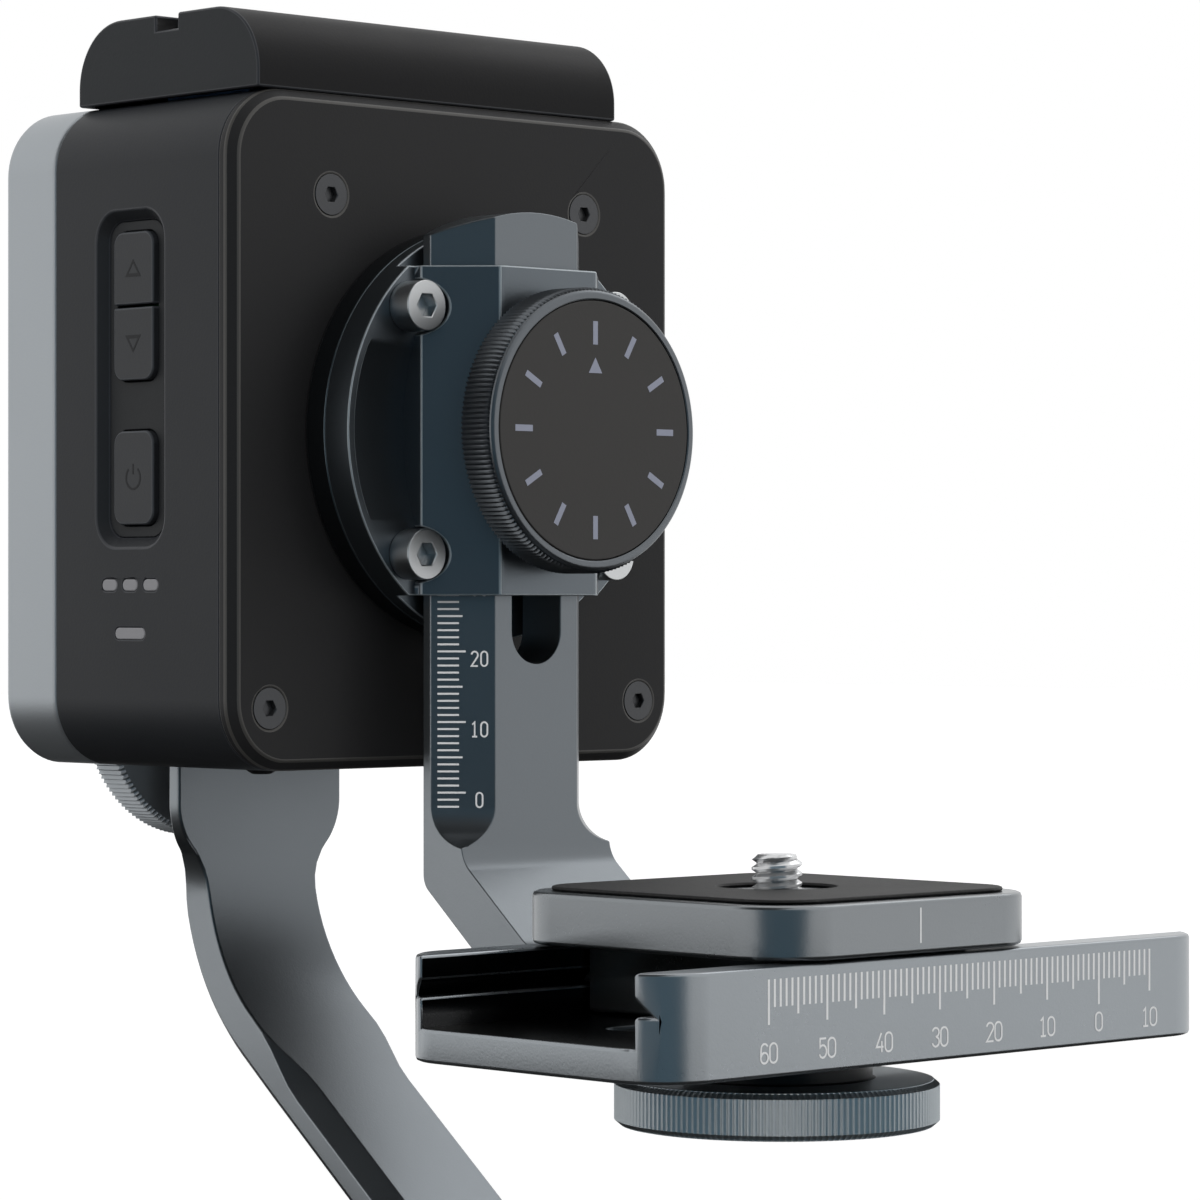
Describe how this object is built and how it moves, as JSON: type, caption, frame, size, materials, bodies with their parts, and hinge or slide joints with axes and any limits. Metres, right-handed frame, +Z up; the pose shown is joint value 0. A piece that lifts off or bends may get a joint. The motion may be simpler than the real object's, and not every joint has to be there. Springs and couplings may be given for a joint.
{
  "type": "motorized pan tilt head",
  "caption": "Motorized pan and tilt head for panoramas: a lower drive unit pans, a bent arm carries a tilting drive unit, and a slotted bracket with a rail carries the sliding camera plate.",
  "frame": {"origin": "on the pan axis, at the mouth of the tripod thread in the lower unit's underside", "axes": "+Z up along the pan axis, +Y from the camera plate towards the upper drive unit, +X to the right of someone who faces the clamp knobs, so that the keys are on the -X side"},
  "size_m": [0.1207, 0.2087, 0.2695],
  "materials": {
    "silver_base": "silver anodised, fine satin",
    "dark_housing": "dark grey, fine matt grain",
    "black_cover": "satin black",
    "dark_steel": "dark satin",
    "black_table": "satin black, fine turning marks",
    "brass": "machined",
    "steel": "bright, fine turning marks",
    "inner_steel": "plain sheet",
    "board": "green solder mask",
    "key": "dark grey, smooth matt",
    "light_pipe": "milky, slightly clear",
    "cell": "shrink film",
    "gunmetal": "gunmetal anodised, fine satin",
    "dial": "dark grey, fine turning marks, printed",
    "rubber": "matt black"
  },
  "bodies": {
    "base": {"pan_base": "silver_base", "pan_housing": "dark_housing", "pan_cover": "black_cover", "pan_cover_screws": "dark_steel", "pan_bush": "brass", "pan_motor": "steel", "pan_chassis": "inner_steel", "pan_circuit_board": "board", "pan_button_bezel": "dark_housing", "pan_led_pipes": "light_pipe", "pan_battery_cover": "dark_housing", "pan_battery_cell": "cell", "tripod_bush": "steel"},
    "pan_turn": {"pan_turntable": "black_table", "pan_output_gear": "brass", "pan_clamp": "gunmetal", "pan_clamp_screws": "steel"},
    "pan_idler": {"pan_idler_gear": "brass"},
    "pan_pinion": {"pan_pinion": "brass"},
    "pan_knob": {"pan_clamp_knob": "gunmetal", "pan_knob_disc": "dial"},
    "pan_up_key": {"pan_up_button": "key"},
    "pan_down_key": {"pan_down_button": "key"},
    "pan_power_key": {"pan_power_button": "key"},
    "arm": {"arm": "gunmetal", "port_plug": "rubber", "tilt_base": "silver_base", "tilt_housing": "dark_housing", "tilt_cover": "black_cover", "tilt_cover_screws": "dark_steel", "tilt_bush": "brass", "tilt_motor": "steel", "tilt_chassis": "inner_steel", "tilt_circuit_board": "board", "tilt_button_bezel": "dark_housing", "tilt_led_pipes": "light_pipe", "tilt_battery_cover": "dark_housing", "tilt_battery_cell": "cell"},
    "arm_knob": {"arm_knob": "silver_base"},
    "tilt_turn": {"tilt_turntable": "black_table", "tilt_output_gear": "brass", "tilt_clamp": "gunmetal", "tilt_clamp_screws": "steel"},
    "tilt_idler": {"tilt_idler_gear": "brass"},
    "tilt_pinion": {"tilt_pinion": "brass"},
    "tilt_knob": {"tilt_clamp_knob": "gunmetal", "tilt_knob_disc": "dial"},
    "tilt_up_key": {"tilt_up_button": "key"},
    "tilt_down_key": {"tilt_down_button": "key"},
    "tilt_power_key": {"tilt_power_button": "key"},
    "bracket": {"camera_bracket": "gunmetal", "rail": "gunmetal", "rail_screws": "steel"},
    "plate": {"camera_plate": "gunmetal", "plate_pad": "rubber"},
    "plate_knob": {"plate_knob": "gunmetal", "camera_screw": "steel"}
  },
  "joints": [
    {"name": "pan_spin", "type": "hinge", "parent": "base", "child": "pan_turn", "pos_m": [0, 0, 0.055], "axis": [0, 0, 1], "continuous": true},
    {"name": "pan_idler_spin", "type": "hinge", "parent": "base", "child": "pan_idler", "pos_m": [0.0144, -0.02494, 0.0358], "axis": [0, 0, 1], "continuous": true},
    {"name": "pan_pinion_spin", "type": "hinge", "parent": "base", "child": "pan_pinion", "pos_m": [0.02793, -0.02002, 0.0358], "axis": [0, 0, 1], "continuous": true},
    {"name": "pan_knob_spin", "type": "hinge", "parent": "pan_turn", "child": "pan_knob", "pos_m": [0, 0, 0.076], "axis": [0, 0, 1], "range_deg": [0, 330]},
    {"name": "arm_slide", "type": "slide", "parent": "pan_turn", "child": "arm", "axis": [0, 1, 0], "range_m": [-0.025, 0.015]},
    {"name": "arm_knob_spin", "type": "hinge", "parent": "arm", "child": "arm_knob", "pos_m": [0, 0.152, 0.1695], "axis": [0, 1, 0], "range_deg": [0, 330]},
    {"name": "tilt_spin", "type": "hinge", "parent": "arm", "child": "tilt_turn", "pos_m": [0, 0.09368, 0.2095], "axis": [0, -1, 0], "continuous": true},
    {"name": "tilt_idler_spin", "type": "hinge", "parent": "arm", "child": "tilt_idler", "pos_m": [0.0144, 0.11288, 0.18456], "axis": [0, -1, 0], "continuous": true},
    {"name": "tilt_pinion_spin", "type": "hinge", "parent": "arm", "child": "tilt_pinion", "pos_m": [0.02793, 0.11288, 0.18948], "axis": [0, -1, 0], "continuous": true},
    {"name": "tilt_knob_spin", "type": "hinge", "parent": "tilt_turn", "child": "tilt_knob", "pos_m": [0, 0.07268, 0.2095], "axis": [0, -1, 0], "range_deg": [0, 330]},
    {"name": "bracket_slide", "type": "slide", "parent": "tilt_turn", "child": "bracket", "axis": [0, 0, 1], "range_m": [-0.006, 0.028]},
    {"name": "plate_slide", "type": "slide", "parent": "bracket", "child": "plate", "axis": [1, 0, 0], "range_m": [-0.025, 0.038]},
    {"name": "plate_knob_spin", "type": "hinge", "parent": "plate", "child": "plate_knob", "pos_m": [-0.034, 0, 0.12], "axis": [0, 0, 1], "continuous": true},
    {"name": "pan_up_press", "type": "slide", "parent": "base", "child": "pan_up_key", "axis": [1, 0, 0], "range_m": [0, 0.0006], "stiffness_N_per_m": 1500, "springref_m": -0.0002},
    {"name": "pan_down_press", "type": "slide", "parent": "base", "child": "pan_down_key", "axis": [1, 0, 0], "range_m": [0, 0.0006], "stiffness_N_per_m": 1500, "springref_m": -0.0002},
    {"name": "pan_power_press", "type": "slide", "parent": "base", "child": "pan_power_key", "axis": [1, 0, 0], "range_m": [0, 0.0006], "stiffness_N_per_m": 1500, "springref_m": -0.0002},
    {"name": "tilt_up_press", "type": "slide", "parent": "arm", "child": "tilt_up_key", "axis": [1, 0, 0], "range_m": [0, 0.0006], "stiffness_N_per_m": 1500, "springref_m": -0.0002},
    {"name": "tilt_down_press", "type": "slide", "parent": "arm", "child": "tilt_down_key", "axis": [1, 0, 0], "range_m": [0, 0.0006], "stiffness_N_per_m": 1500, "springref_m": -0.0002},
    {"name": "tilt_power_press", "type": "slide", "parent": "arm", "child": "tilt_power_key", "axis": [1, 0, 0], "range_m": [0, 0.0006], "stiffness_N_per_m": 1500, "springref_m": -0.0002}
  ],
  "couplings": [
    {"joint": "pan_idler_spin", "follows": "pan_spin", "ratio": -2},
    {"joint": "pan_pinion_spin", "follows": "pan_spin", "ratio": 4},
    {"joint": "tilt_idler_spin", "follows": "tilt_spin", "ratio": -2},
    {"joint": "tilt_pinion_spin", "follows": "tilt_spin", "ratio": 4}
  ]
}
